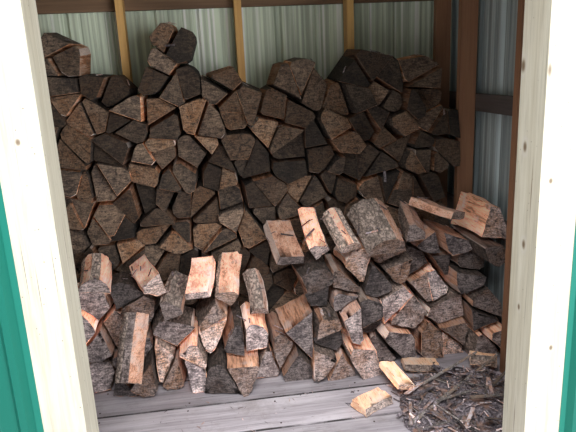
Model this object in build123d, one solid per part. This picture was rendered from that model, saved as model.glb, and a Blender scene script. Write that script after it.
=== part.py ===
"""Log store: a small timber-framed shed with ribbed green cladding, stacked full of split firewood.

All sizes are in millimetres. X runs from left to right seen from the door, Y from the door to the
back wall, and Z up from the ground. The shed is centred on X and Y, and its skids rest at Z = 0.
"""
from build123d import *
import copy
import math
import os
import random
from itertools import combinations

os.makedirs("parts", exist_ok=True)

# Shed size over the framing, without cladding
half_width = 1246
half_depth = 895

# Lumber sections
thin = 38
stud_deep = 89
wide = 140

# Doorway: the inner faces of the two posts, and the clear height above the floor
door_left = -631
door_right = 757
door_height = 2057
post = 140

# Floor
skid = 89
joist_pitch = 403
floor_top = skid + stud_deep + thin

# Walls: heights of the lower girts' bottom edges above the floor
girt_bottoms = (0, 609, 1227)
front_girt_drop = 140
skid_inset = 195
back_stud_pitch = 610
side_stud_pitch = 583
side_stud_first = 502
back_plate_top = 1955
header_top = door_height + wide
back_top_girt = back_plate_top - thin - stud_deep
front_top_girt = door_height - front_girt_drop - stud_deep

# Roof
rafter_tail = 150
purlin_overhang = 104
sheet_overhang = 36

# Ribbed sheet
sheet_t = 0.5
rib_pitch = 228.6
rib_high = 19
rib_base = 48
rib_crest = 20
small_rib_high = 2.5
small_rib_base = 22
small_rib_crest = 12
cladding_bottom = 80

# Fits
seat = 0.3
lap_left = 22
lap_right = 16

# Levels and lines that follow from the sizes above
stud_out = half_width - thin
stud_in = stud_out - stud_deep
back_stud_out = half_depth - thin
back_stud_in = back_stud_out - stud_deep
slope = (header_top - back_plate_top) / (half_depth + back_stud_in)
tilt = math.atan(slope)


def rafter_under(y):
    """Height of the rafters' lower edge above the ground at depth y."""
    return floor_top + back_plate_top + slope * (back_stud_in - y)


rafter_rise = wide / math.cos(tilt)
purlin_rise = thin / math.cos(tilt)


def block(x0, x1, y0, y1, z0, z1):
    """A squared timber or board between two corners."""
    size = (x1 - x0, y1 - y0, z1 - z0)
    middle = ((x0 + x1) / 2, (y0 + y1) / 2, (z0 + z1) / 2)
    return Pos(*middle) * Box(*size)


def side_shape(x0, x1, outline):
    """A solid between x0 and x1 whose outline is drawn in depth and height."""
    points = [Vector(x0, y, z) for y, z in outline]
    face = Face(Wire.make_polygon(points, close=True))
    return extrude(face, amount=x1 - x0, dir=(1, 0, 0))


def front_shape(y0, y1, outline):
    """A solid between y0 and y1 whose outline is drawn in width and height."""
    points = [Vector(x, y0, z) for x, z in outline]
    face = Face(Wire.make_polygon(points, close=True))
    return extrude(face, amount=y1 - y0, dir=(0, 1, 0))


def save(name, solids):
    """Write one named piece, or several like pieces that don't touch, to its own file."""
    shape = solids[0] if len(solids) == 1 else Compound(children=solids)
    export_step(shape, f"parts/{name}.step")


# Floor frame

skids = []
for y in (-half_depth + skid_inset, 0, half_depth - skid_inset):
    skids.append(block(-half_width, half_width, y - skid / 2, y + skid / 2, 0, skid))
save("skids", skids)

rim_in = half_depth - thin
joists = []
for number in range(-3, 4):
    x = number * joist_pitch
    if abs(number) == 3:
        x = math.copysign(half_width - thin / 2, number)
    joists.append(block(x - thin / 2, x + thin / 2, -rim_in, rim_in, skid, skid + stud_deep))
save("floor_joists", joists)

rim_z = (skid, skid + stud_deep)
save("floor_rim_front", [block(-half_width, half_width, -half_depth, -rim_in, *rim_z)])
save("floor_rim_back", [block(-half_width, half_width, rim_in, half_depth, *rim_z)])

deck_z = (skid + stud_deep, floor_top)
save("floor_deck", [block(-half_width, half_width, -half_depth, half_depth, *deck_z)])

# Door posts and the beam over the doorway

post_y = (-half_depth, -half_depth + post)
post_z = (floor_top, floor_top + door_height)
save("door_post_left", [block(door_left - post, door_left, *post_y, *post_z)])
save("door_post_right", [block(door_right, door_right + post, *post_y, *post_z)])

header = block(
    -stud_out,
    stud_out,
    -half_depth,
    -half_depth + stud_deep,
    floor_top + door_height,
    floor_top + header_top,
)
save("door_header", [header])

# Wall studs

front_studs = []
back_corner_studs = []
for side in (-1, 1):
    x0, x1 = sorted((side * stud_in, side * stud_out))
    front_studs.append(
        block(x0, x1, -half_depth + thin, -half_depth + 2 * thin, floor_top, floor_top + door_height)
    )
    back_corner_studs.append(
        block(x0, x1, back_stud_out - thin, back_stud_out, floor_top, floor_top + back_plate_top - thin)
    )
save("corner_studs_front", front_studs)
save("corner_studs_back", back_corner_studs)

back_studs = []
for number in (-1, 0, 1):
    x = number * back_stud_pitch
    back_studs.append(
        block(
            x - thin / 2,
            x + thin / 2,
            back_stud_in,
            back_stud_out,
            floor_top,
            floor_top + back_plate_top - thin,
        )
    )
save("back_studs", back_studs)

back_plate = block(
    -stud_out,
    stud_out,
    back_stud_in,
    back_stud_out,
    floor_top + back_plate_top - thin,
    floor_top + back_plate_top,
)
save("back_plate", [back_plate])


def side_studs(x0, x1):
    """Three studs whose tops are cut to the slope of the rafter that they carry."""
    studs = []
    for number in range(3):
        y = side_stud_first - number * side_stud_pitch
        y0, y1 = y - thin / 2, y + thin / 2
        outline = ((y0, floor_top), (y1, floor_top), (y1, rafter_under(y1)), (y0, rafter_under(y0)))
        studs.append(side_shape(x0, x1, outline))
    return studs


save("left_studs", side_studs(-stud_out, -stud_in))
save("right_studs", side_studs(stud_in, stud_out))

# Girts: flat boards on the outside of the studs that carry the cladding

back_girts = []
for bottom in (*girt_bottoms, back_top_girt):
    z0 = floor_top + bottom
    back_girts.append(block(-half_width, half_width, back_stud_out, half_depth, z0, z0 + stud_deep))
save("back_girts", back_girts)


def side_girts(x0, x1):
    """Level girts between the front and back walls, and a sloping one under the rafters."""
    y0, y1 = -half_depth + thin, back_stud_out
    girts = []
    for bottom in girt_bottoms:
        z0 = floor_top + bottom
        girts.append(block(x0, x1, y0, y1, z0, z0 + stud_deep))
    outline = (
        (y0, rafter_under(y0) - stud_deep),
        (y1, rafter_under(y1) - stud_deep),
        (y1, rafter_under(y1)),
        (y0, rafter_under(y0)),
    )
    girts.append(side_shape(x0, x1, outline))
    return girts


save("left_girts", side_girts(-half_width, -stud_out))
save("right_girts", side_girts(stud_out, half_width))


def front_girts(x0, x1):
    """Short girts between a door post and the corner."""
    girts = []
    for bottom in (*girt_bottoms, front_top_girt):
        z0 = floor_top + bottom
        girts.append(block(x0, x1, -half_depth, -half_depth + thin, z0, z0 + stud_deep))
    return girts


save("front_girts_left", front_girts(-half_width, door_left - post))
save("front_girts_right", front_girts(door_right + post, half_width))

# Roof: rafters notched over the beam and the back plate, purlins across them

rafter_front = -half_depth - rafter_tail
rafter_back = half_depth + rafter_tail
rafter_outline = (
    (rafter_front, rafter_under(rafter_front)),
    (rafter_back, rafter_under(rafter_back)),
    (rafter_back, rafter_under(rafter_back) + rafter_rise),
    (rafter_front, rafter_under(rafter_front) + rafter_rise),
)
end_rafter = (stud_in + stud_out) / 2
rafters = []
for x in (-end_rafter, -back_stud_pitch, 0, back_stud_pitch, end_rafter):
    rafter = side_shape(x - thin / 2, x + thin / 2, rafter_outline)
    rafters.append(rafter - header - back_plate)
save("rafters", rafters)

purlin_end = half_width + purlin_overhang
purlin_run = rafter_back - rafter_front - stud_deep
purlins = []
for number in range(4):
    y0 = rafter_front + purlin_run * number / 3
    y1 = y0 + stud_deep
    outline = (
        (y0, rafter_under(y0) + rafter_rise),
        (y1, rafter_under(y1) + rafter_rise),
        (y1, rafter_under(y1) + rafter_rise + purlin_rise),
        (y0, rafter_under(y0) + rafter_rise + purlin_rise),
    )
    purlins.append(side_shape(-purlin_end, purlin_end, outline))
save("purlins", purlins)

fascia_front_z = rafter_under(rafter_front) + rafter_rise
save(
    "fascia_front",
    [block(-purlin_end, purlin_end, rafter_front - thin, rafter_front, fascia_front_z - wide, fascia_front_z)],
)
fascia_back_z = rafter_under(rafter_back + thin) + rafter_rise
save(
    "fascia_back",
    [block(-purlin_end, purlin_end, rafter_back, rafter_back + thin, fascia_back_z - wide, fascia_back_z)],
)

barge_t = 19
barge_y0 = rafter_front - thin
barge_y1 = rafter_back + thin
barge_outline = (
    (barge_y0, rafter_under(barge_y0) + rafter_rise + purlin_rise - wide),
    (barge_y1, rafter_under(barge_y1) + rafter_rise + purlin_rise - wide),
    (barge_y1, rafter_under(barge_y1) + rafter_rise + purlin_rise),
    (barge_y0, rafter_under(barge_y0) + rafter_rise + purlin_rise),
)
save("barge_board_left", [side_shape(-purlin_end - barge_t, -purlin_end, barge_outline)])
save("barge_board_right", [side_shape(purlin_end, purlin_end + barge_t, barge_outline)])


def rib_line(length, first):
    """Points across a ribbed sheet: high ribs one pitch apart with two low ribs between them."""
    points = [(0, 0)]
    low = []
    centre = first - rib_pitch
    while centre < length + rib_pitch:
        low.append((centre, rib_base, rib_crest, rib_high))
        for part in (1, 2):
            low.append((centre + rib_pitch * part / 3, small_rib_base, small_rib_crest, small_rib_high))
        centre += rib_pitch
    for middle, base, crest, high in low:
        if middle - base / 2 < 1 or middle + base / 2 > length - 1:
            continue
        points.append((middle - base / 2, 0))
        points.append((middle - crest / 2, high))
        points.append((middle + crest / 2, high))
        points.append((middle + base / 2, 0))
    points.append((length, 0))
    return points


def sheet_section(length, first):
    """Closed section of a ribbed sheet: its inner line, and the same line one thickness outwards."""
    inner = rib_line(length, first)
    outer = [(across, out + sheet_t) for across, out in inner]
    return inner + outer[::-1]


def wall_sheet(start, along, outwards, length, first, bottom, top):
    """A sheet on a wall. It starts at a point, runs along one direction and has its ribs outwards."""
    points = []
    for across, out in sheet_section(length, first):
        x = start[0] + along[0] * across + outwards[0] * out
        y = start[1] + along[1] * across + outwards[1] * out
        points.append(Vector(x, y, bottom))
    face = Face(Wire.make_polygon(points, close=True))
    return extrude(face, amount=top - bottom, dir=(0, 0, 1))


edge_rib = 45

# Roof sheet, ribs running down the slope

sheet_half = purlin_end + barge_t + sheet_overhang
sheet_y0 = barge_y0 - sheet_overhang
sheet_y1 = barge_y1 + sheet_overhang
sheet_z = rafter_under(sheet_y0) + rafter_rise + purlin_rise
roof_points = []
for across, out in sheet_section(2 * sheet_half, edge_rib):
    roof_points.append(Vector(across - sheet_half, sheet_y0, sheet_z + out))
roof_face = Face(Wire.make_polygon(roof_points, close=True))
roof_run = (sheet_y1 - sheet_y0) / math.cos(tilt)
roof_dir = (0, math.cos(tilt), -math.sin(tilt))
save("roof_sheet", [extrude(roof_face, amount=roof_run, dir=roof_dir)])

# Wall cladding

back_top = rafter_under(half_depth + rib_high) - 4
back_edge_rib = half_width - 5 * rib_pitch
save(
    "back_cladding",
    [
        wall_sheet(
            (-half_width, half_depth), (1, 0), (0, 1), 2 * half_width, back_edge_rib, cladding_bottom, back_top
        )
    ],
)

side_top = rafter_under(-half_depth) + rafter_rise
above_roof = side_shape(
    -2 * half_width,
    2 * half_width,
    (
        (-2 * half_depth, rafter_under(-2 * half_depth) + rafter_rise - 6),
        (2 * half_depth, rafter_under(2 * half_depth) + rafter_rise - 6),
        (2 * half_depth, 2 * side_top),
        (-2 * half_depth, 2 * side_top),
    ),
)
left_sheet = wall_sheet(
    (-half_width, -half_depth), (0, 1), (-1, 0), 2 * half_depth, edge_rib, cladding_bottom, side_top + 40
)
right_sheet = wall_sheet(
    (half_width, -half_depth), (0, 1), (1, 0), 2 * half_depth, edge_rib, cladding_bottom, side_top + 40
)
save("left_cladding", [left_sheet - above_roof])
save("right_cladding", [right_sheet - above_roof])

front_top = rafter_under(-half_depth) - 4
over_door_bottom = floor_top + door_height
panel_left_end = door_left - post + lap_left
panel_right_start = door_right + post - lap_right
left_width = panel_left_end + half_width
save(
    "front_cladding_left",
    [
        wall_sheet(
            (-half_width, -half_depth),
            (1, 0),
            (0, -1),
            left_width,
            left_width - edge_rib - rib_pitch,
            cladding_bottom,
            front_top,
        )
    ],
)
save(
    "front_cladding_right",
    [
        wall_sheet(
            (panel_right_start, -half_depth),
            (1, 0),
            (0, -1),
            half_width - panel_right_start,
            edge_rib,
            cladding_bottom,
            front_top,
        )
    ],
)
save(
    "front_cladding_over_door",
    [
        wall_sheet(
            (panel_left_end + seat, -half_depth),
            (1, 0),
            (0, -1),
            panel_right_start - panel_left_end - 2 * seat,
            rib_pitch / 2,
            over_door_bottom,
            front_top,
        )
    ],
)

# Corner trims: bent strips over the outermost ribs

trim_t = 1
trim_leg = 120
trim_x = half_width + rib_high + sheet_t
trim_y = half_depth + rib_high + sheet_t


def corner_trim(side_x, side_y, top):
    """A bent strip that closes one corner of the cladding, from the bottom edge to a height."""
    outline = (
        (trim_x - trim_leg, trim_y),
        (trim_x, trim_y),
        (trim_x, trim_y - trim_leg),
        (trim_x + trim_t, trim_y - trim_leg),
        (trim_x + trim_t, trim_y + trim_t),
        (trim_x - trim_leg, trim_y + trim_t),
    )
    points = [Vector(side_x * x, side_y * y, cladding_bottom) for x, y in outline]
    face = Face(Wire.make_polygon(points, close=True))
    return extrude(face, amount=top - cladding_bottom, dir=(0, 0, 1))


save("corner_trims_front", [corner_trim(side, -1, front_top) for side in (-1, 1)])
save("corner_trims_back", [corner_trim(side, 1, back_top - 8) for side in (-1, 1)])

# Narrow strips that finish the cladding beside the door posts

strip_w = 18
strip_y = (-half_depth - sheet_t - trim_t, -half_depth - sheet_t)
strip_z = (cladding_bottom, over_door_bottom)
save(
    "door_trims",
    [
        block(panel_left_end - strip_w, panel_left_end, *strip_y, *strip_z),
        block(panel_right_start, panel_right_start + strip_w, *strip_y, *strip_z),
    ],
)

# Firewood
#
# Each split log is a prism along Y. Its section is the room that it has between its neighbours:
# the part of the stack that lies nearer to its middle than to any other log's.

log_gap = seat
log_length = 330
back_row_wide = 184
back_row_high = 156
front_row_wide = 206
front_row_high = 172
front_row_back = 385
between_gap = 40
row_slant = 0.13


def profile_height(profile, x):
    """Height of a stack's top above the floor at x, from straight lines between points."""
    if x <= profile[0][0]:
        return profile[0][1]
    for (x0, z0), (x1, z1) in zip(profile, profile[1:]):
        if x <= x1:
            return z0 + (z1 - z0) * (x - x0) / (x1 - x0)
    return profile[-1][1]


def clip(polygon, nx, nz, limit):
    """The part of a convex outline where nx * x + nz * z is at most the limit."""
    kept = []
    for (x0, z0), (x1, z1) in zip(polygon, polygon[1:] + polygon[:1]):
        d0 = nx * x0 + nz * z0 - limit
        d1 = nx * x1 + nz * z1 - limit
        if d0 <= 0:
            kept.append((x0, z0))
        if d0 * d1 < 0:
            share = d0 / (d0 - d1)
            kept.append((x0 + (x1 - x0) * share, z0 + (z1 - z0) * share))
    return kept


def outline_area(polygon):
    """Area inside an outline."""
    total = 0
    for (x0, z0), (x1, z1) in zip(polygon, polygon[1:] + polygon[:1]):
        total += x0 * z1 - x1 * z0
    return abs(total) / 2


def clean_outline(polygon, least):
    """An outline without points that lie closer than the least distance to the one before."""
    kept = []
    for point in polygon:
        if not kept or math.dist(point, kept[-1]) > least:
            kept.append(point)
    if len(kept) > 1 and math.dist(kept[0], kept[-1]) <= least:
        kept.pop()
    return kept


def cut_corners(polygon, deepest, rng):
    """Cut some corners off, so that dark hollows show where logs meet."""
    points = []
    for index, point in enumerate(polygon):
        before = polygon[index - 1]
        after = polygon[(index + 1) % len(polygon)]
        depth = rng.uniform(0.4, 1) * deepest
        if rng.random() < 0.72:
            points.append(point)
            continue
        for other in (before, after):
            length = math.dist(point, other)
            share = min(depth, 0.3 * length) / length
            cut_x = point[0] + (other[0] - point[0]) * share
            cut_z = point[1] + (other[1] - point[1]) * share
            points.append((cut_x, cut_z))
    return points


def halve(cell, rng):
    """Split an outline in two, roughly across its longest direction."""
    first, second = max(combinations(cell, 2), key=lambda pair: math.dist(*pair))
    length = math.dist(first, second)
    angle = math.atan2(second[1] - first[1], second[0] - first[0]) + rng.uniform(-0.5, 0.5)
    share = rng.uniform(0.42, 0.58)
    nx, nz = math.cos(angle), math.sin(angle)
    middle_x = first[0] + (second[0] - first[0]) * share
    middle_z = first[1] + (second[1] - first[1]) * share
    limit = nx * middle_x + nz * middle_z
    return [clip(cell, nx, nz, limit - log_gap / 2), clip(cell, -nx, -nz, -limit - log_gap / 2)]


def split_log(cell, room, rng):
    """Split a round's outline in two, and a large half again."""
    if outline_area(cell) < 0.62 * room:
        return [cell]
    halves = sorted(halve(cell, rng), key=outline_area)
    if outline_area(halves[1]) < 0.72 * room:
        return halves
    return [halves[0]] + halve(halves[1], rng)


def stack_outlines(profile, x_start, x_end, wide_step, high_step, rng):
    """Outlines of all logs in one row of the stack."""
    seeds = []
    row = 0
    top = max(z for x, z in profile) + 3 * high_step
    while row * high_step < top:
        x = x_start + (row % 2) * wide_step / 2 - wide_step
        while x < x_end + wide_step:
            jitter_x = rng.uniform(-0.4, 0.4) * wide_step
            jitter_z = rng.uniform(-0.4, 0.4) * high_step
            if rng.random() > 0.07:
                seeds.append((x + jitter_x, (row + 0.42) * high_step + jitter_z))
            x += wide_step
        row += 1
    outlines = []
    for x, z in seeds:
        if not x_start < x < x_end or z < 0 or z > profile_height(profile, x) - 0.4 * high_step:
            continue
        cell = [(x_start, seat), (x_end, seat), (x_end, top), (x_start, top)]
        for other_x, other_z in seeds:
            away = math.dist((x, z), (other_x, other_z))
            if not 0 < away < 3 * wide_step:
                continue
            nx = (other_x - x) / away
            nz = (other_z - z) / away
            middle = nx * (x + other_x) / 2 + nz * (z + other_z) / 2
            cell = clip(cell, nx, nz, middle - log_gap / 2)
        outlines.extend(split_log(cell, wide_step * high_step, rng))
    return outlines


def stack_row(outlines, room, front_line, lean, spread, y_limits, rng):
    """Logs of one row, each with its own front end, as pairs of a middle X and a solid."""
    logs = []
    for outline in outlines:
        outline = clean_outline(outline, 0.05 * math.sqrt(room))
        if len(outline) < 3 or outline_area(outline) < 0.16 * room:
            continue
        shaped = cut_corners(outline, 0.2 * math.sqrt(room), rng)
        middle_x = sum(x for x, z in shaped) / len(shaped)
        middle_z = sum(z for x, z in shaped) / len(shaped)
        slope = profile_height(lean, middle_x)
        y0 = profile_height(front_line, middle_x) + slope * middle_z + rng.uniform(-spread, spread)
        y0 = max(y0, y_limits[0](middle_z))
        y1 = min(y_limits[1](middle_z), y0 + log_length + rng.uniform(-spread, spread) / 2)
        lifted = [(x, z + floor_top) for x, z in shaped]
        logs.append((middle_x, front_shape(y0, y1, lifted)))
    return logs


def save_row(name, logs, limits):
    """Save a row in three nodes: left, middle and right."""
    for part, (low, high) in zip(("left", "middle", "right"), limits):
        save(f"{name}_{part}", [solid for middle, solid in logs if low <= middle < high])


# Tops of the two rows above the floor, and where their front ends stand
back_row_top = (
    (-1118, 1700),
    (-941, 1743),
    (-862, 1740),
    (-709, 1655),
    (-638, 1561),
    (-576, 1419),
    (-455, 1631),
    (-344, 1721),
    (-180, 1665),
    (-60, 1565),
    (0, 1430),
    (60, 1460),
    (100, 1613),
    (326, 1697),
    (553, 1575),
    (621, 1639),
    (832, 1578),
    (990, 1571),
    (1118, 1342),
)
back_row_front = ((-1118, 425), (1118, 425))
back_row_lean = ((-1118, 0.05), (1118, 0.05))
front_row_top = (
    (-1207, 540),
    (-800, 560),
    (-560, 530),
    (-430, 450),
    (-290, 420),
    (-240, 340),
    (105, 340),
    (140, 440),
    (210, 460),
    (240, 560),
    (340, 570),
    (380, 690),
    (500, 735),
    (700, 745),
    (1000, 735),
    (1060, 790),
    (1207, 790),
)
front_row_front = (
    (-1207, 130),
    (-650, 100),
    (-340, 60),
    (-80, 30),
    (400, 20),
    (560, 60),
    (700, 115),
    (1000, 95),
    (1207, 40),
)
front_row_lean = ((-1207, 0.34), (600, 0.34), (1000, 0.16), (1207, 0.08))
row_limits = ((-1300, -400), (-400, 350), (350, 1300))


def between_rows(z):
    """Depth of the slanting plane between the two rows at a height above the floor."""
    return front_row_back + row_slant * min(z, 700)


rng = random.Random(7)
room = back_row_wide * back_row_high
reach = stud_in - seat
outlines = stack_outlines(back_row_top, -reach, reach, back_row_wide, back_row_high, rng)
limits = (lambda z: between_rows(z) + between_gap / 2, lambda z: back_stud_in - seat)
back_logs = stack_row(outlines, room, back_row_front, back_row_lean, 42, limits, rng)
save_row("firewood_back", back_logs, row_limits)

rng = random.Random(11)
room = front_row_wide * front_row_high
reach = stud_out - seat
outlines = stack_outlines(front_row_top, -reach, reach, front_row_wide, front_row_high, rng)
limits = (lambda z: 0, lambda z: between_rows(z) - between_gap / 2)
front_logs = stack_row(outlines, room, front_row_front, front_row_lean, 52, limits, rng)
save_row("firewood_front", front_logs, row_limits)

# Bark, chips and twigs in the right front corner: two rings, the upper one smaller. X is given as the distance
# from the right studs, for the heap and for the pieces and sticks that lie near it.

heap_foot = ((614, -390), (559, -560), (419, -690), (2, -720), (2, -10), (219, 0), (479, -40), (559, -180))
heap_top = ((479, -370), (419, -540), (279, -640), (5, -660), (5, -30), (219, -40), (379, -110))
heap_layers = ((52, 62, heap_foot), (88, 60, heap_top))
heap_parts = []
for height, taper, ring in heap_layers:
    ring_points = [Vector(stud_in - from_studs, y, floor_top + seat) for from_studs, y in ring]
    heap_face = Face(Wire.make_polygon(ring_points, close=True))
    heap_parts.append(extrude(heap_face, amount=height, taper=taper))
bark_heap = heap_parts[0] + heap_parts[1]
save("bark_heap", [bark_heap])

# Loose pieces: each is turned, tipped and lowered until it comes to rest on what lies below


def in_the_way(piece, supports, sideways):
    """The supports that the piece would meet on its way down, or on its way back if sideways."""
    box = piece.bounding_box()
    near = []
    for support in supports:
        other = support.bounding_box()
        if other.min.X > box.max.X or other.max.X < box.min.X:
            continue
        if sideways:
            aside = other.min.Z > box.max.Z or other.max.Z < box.min.Z or other.max.Y < box.min.Y
        else:
            aside = other.min.Y > box.max.Y or other.max.Y < box.min.Y
        if not aside:
            near.append(support)
    return Compound(children=[copy.copy(support) for support in near])


def settle(piece, supports):
    """Lower a piece in safe steps until it is a hair's breadth above what carries it."""
    ground = in_the_way(piece, supports, False)
    for step in range(60):
        distance = piece.distance_to(ground)
        if distance < 1.5 * seat:
            break
        piece = Pos(0, 0, seat - distance) * piece
    return piece


def lean_back(piece, supports):
    """Lift a settled piece a little, slide it back until it meets the stack, and settle it again."""
    piece = Pos(0, 0, 4) * piece
    behind = in_the_way(piece, supports, True)
    for step in range(45):
        distance = piece.distance_to(behind)
        if distance < 1.5 * seat:
            break
        piece = Pos(0, distance - seat, 0) * piece
    return settle(piece, supports)


def split_piece(kind, size, length):
    """A split log along Y with its middle at the origin."""
    sections = {
        "wedge": ((0, -0.52), (0.5, 0.12), (0.34, 0.38), (-0.3, 0.42), (-0.5, 0.2)),
        "half": ((-0.55, -0.24), (0.55, -0.24), (0.42, 0.12), (0.16, 0.3), (-0.2, 0.28), (-0.44, 0.08)),
        "slab": ((-0.5, -0.16), (0.52, -0.2), (0.46, 0.18), (-0.42, 0.22)),
        "round": ((-0.5, 0.1), (-0.4, -0.3), (0, -0.5), (0.4, -0.34), (0.5, 0.08), (0.3, 0.42), (-0.16, 0.48)),
    }
    outline = [(size * x, size * z) for x, z in sections[kind]]
    return front_shape(-length / 2, length / 2, outline)


def loose_pieces(table, supports):
    """Pieces from a table of kind, size, length, place, turn, tip and roll, laid down in turn."""
    laid = []
    for kind, size, length, x, y, turn, tip, roll in table:
        piece = split_piece(kind, size, length)
        piece = Pos(x, y, floor_top + 1500) * Rot(0, 0, turn) * Rot(tip, 0, 0) * Rot(0, roll, 0) * piece
        piece = settle(piece, supports + laid)
        if tip > 20:
            piece = lean_back(piece, supports + laid)
        laid.append(piece)
    return laid


def from_right_studs(table):
    """The same table, with places that were written as distances from the right studs turned into X."""
    return [(kind, size, length, stud_in - x, y, *turns) for kind, size, length, x, y, *turns in table]


deck = block(-half_width, half_width, -half_depth, half_depth, *deck_z)
stack_solids = [solid for middle, solid in front_logs + back_logs]
leaning_table = (
    ("half", 95, 270, -24, 285, 4, 30, 10),
    ("wedge", 130, 270, -160, 285, -9, 30, -6),
    ("slab", 150, 280, 128, 285, 8, 28, 5),
    ("wedge", 115, 290, 276, 275, 4, 30, 8),
    ("half", 110, 280, 420, 290, 11, 28, -12),
    ("slab", 130, 250, -304, 285, -10, 26, -8),
    ("half", 120, 330, -652, 110, -17, 58, 10),
    ("half", 200, 310, 608, 270, 8, 30, 0),
    ("wedge", 120, 260, 775, 280, -8, 14, 40),
    ("slab", 120, 270, 905, 250, 32, 8, 10),
    ("wedge", 130, 270, -440, 290, -10, 14, 30),
    ("half", 140, 270, -800, 290, 6, 12, 10),
    ("slab", 120, 260, -1010, 290, 12, 8, -14),
    ("wedge", 130, 270, -560, 300, 20, 6, 200),
)
leaning = loose_pieces(leaning_table, stack_solids + [deck])
save("leaning_splits", leaning)

fallen_table = (
    ("slab", 110, 170, 694, -215, -62, 0, 0),
    ("slab", 90, 210, 541, -102, 8, 3, 6),
    ("slab", 100, 175, 374, 30, 82, 4, 0),
    ("half", 90, 130, 74, -30, 70, 4, 0),
)
fallen = loose_pieces(from_right_studs(fallen_table), [deck, bark_heap] + stack_solids)
save("fallen_splits", fallen)

stick_table = (
    (11, 660, 304, -258, -60),
    (9, 365, 303, -130, -79),
    (13, 460, 239, -335, -70),
    (8, 360, 419, -330, -40),
    (10, 300, 159, -430, -84),
    (7, 300, 189, -500, -30),
)
sticks = []
resting = [deck, bark_heap] + stack_solids + fallen
for radius, length, from_studs, y, turn in stick_table:
    corners = [math.pi * side / 3 for side in range(6)]
    outline = [(radius * math.cos(corner), radius * math.sin(corner)) for corner in corners]
    stick = front_shape(-length / 2, length / 2, outline)
    stick = Pos(stud_in - from_studs, y, floor_top + 1500) * Rot(0, 0, turn) * stick
    sticks.append(settle(stick, resting + sticks))
save("sticks", sticks)
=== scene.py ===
import math
import random

import bmesh
import bpy
import numpy as np
from mathutils import Matrix, Vector


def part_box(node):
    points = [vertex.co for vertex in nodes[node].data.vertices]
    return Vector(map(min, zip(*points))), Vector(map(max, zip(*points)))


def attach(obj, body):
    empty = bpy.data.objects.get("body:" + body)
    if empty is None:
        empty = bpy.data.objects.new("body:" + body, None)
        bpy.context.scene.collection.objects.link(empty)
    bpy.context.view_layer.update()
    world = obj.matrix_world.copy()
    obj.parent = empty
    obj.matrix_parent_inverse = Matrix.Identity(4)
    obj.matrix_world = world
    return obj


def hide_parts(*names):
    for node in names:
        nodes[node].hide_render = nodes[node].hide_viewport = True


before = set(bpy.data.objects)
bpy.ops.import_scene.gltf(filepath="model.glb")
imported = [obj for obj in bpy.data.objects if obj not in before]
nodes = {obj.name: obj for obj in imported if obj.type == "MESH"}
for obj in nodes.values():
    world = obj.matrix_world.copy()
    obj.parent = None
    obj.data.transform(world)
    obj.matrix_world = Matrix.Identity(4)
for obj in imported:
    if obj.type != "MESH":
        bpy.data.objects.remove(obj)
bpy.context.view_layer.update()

# Sizes in metres, read from the frame or estimated from the photo

deck_low, deck_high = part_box("floor_deck")
floor_z = deck_high[2]
front_y = deck_low[1]
back_y = deck_high[1]
board_pitch = 0.241
board_seam = -0.0523
board_gap = 0.001
joist_pitch = 0.403
rib_pitch = 0.2286
down = Vector((0, 0, -1))


# Small helpers


def deselect_all():
    """Nothing selected and no active object left from the frame."""
    bpy.ops.object.select_all(action="DESELECT")


def select_only(piece):
    """One piece selected and active."""
    deselect_all()
    piece.select_set(True)
    bpy.context.view_layer.objects.active = piece


def edit(piece):
    """Into edit mode with nothing selected, in face mode."""
    select_only(piece)
    bpy.ops.object.mode_set(mode="EDIT")
    bpy.ops.mesh.select_mode(type="FACE")
    bpy.ops.mesh.select_all(action="DESELECT")


def done():
    """Back to object mode."""
    bpy.ops.object.mode_set(mode="OBJECT")


def pick_faces(piece, wanted):
    """Select the faces for which wanted(normal, centre) holds, and return to edit mode."""
    bpy.ops.object.mode_set(mode="OBJECT")
    for polygon in piece.data.polygons:
        polygon.select = wanted(polygon.normal, polygon.center)
    bpy.ops.object.mode_set(mode="EDIT")


def apply_modifier(piece, kind, **settings):
    """Add one modifier with its settings and apply it."""
    select_only(piece)
    modifier = piece.modifiers.new(kind.title(), kind)
    for key, value in settings.items():
        setattr(modifier, key, value)
    bpy.ops.object.modifier_apply(modifier=modifier.name)


def copy_node(node, name):
    """A new piece from a CAD node's mesh, with its doubled corners merged."""
    piece = nodes[node].copy()
    piece.data = nodes[node].data.copy()
    piece.name = name
    piece.data.name = name
    piece.parent = None
    piece.matrix_world = Matrix.Identity(4)
    bpy.context.scene.collection.objects.link(piece)
    edit(piece)
    bpy.ops.mesh.select_all(action="SELECT")
    bpy.ops.mesh.remove_doubles(threshold=0.00005)
    bpy.ops.mesh.dissolve_limited(angle_limit=math.radians(0.5))
    done()
    return piece


def join_all(copies, name):
    """One piece from many copies."""
    deselect_all()
    for copy in copies:
        copy.select_set(True)
    bpy.context.view_layer.objects.active = copies[0]
    bpy.ops.object.join()
    joined = bpy.context.object
    joined.name = name
    return joined


def island_of_faces(mesh):
    """For each face, the number of the log that it belongs to."""
    parent = list(range(len(mesh.vertices)))

    def root(index):
        while parent[index] != index:
            parent[index] = parent[parent[index]]
            index = parent[index]
        return index

    for edge in mesh.edges:
        first, second = root(edge.vertices[0]), root(edge.vertices[1])
        parent[first] = second
    return [root(polygon.vertices[0]) for polygon in mesh.polygons]


def finish_piece(piece, material, slot, *replaced):
    """Material, body and the CAD nodes that the piece stands for."""
    piece.data.materials.clear()
    piece.data.materials.append(material)
    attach(piece, "root")
    if replaced:
        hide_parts(*replaced)


# Material building


def shaded(colour, share):
    """A colour made darker or lighter by a share."""
    return tuple(share * part for part in colour)


def bleached(colour):
    """A colour halfway to white."""
    return tuple(0.5 + 0.5 * part for part in colour)


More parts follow.
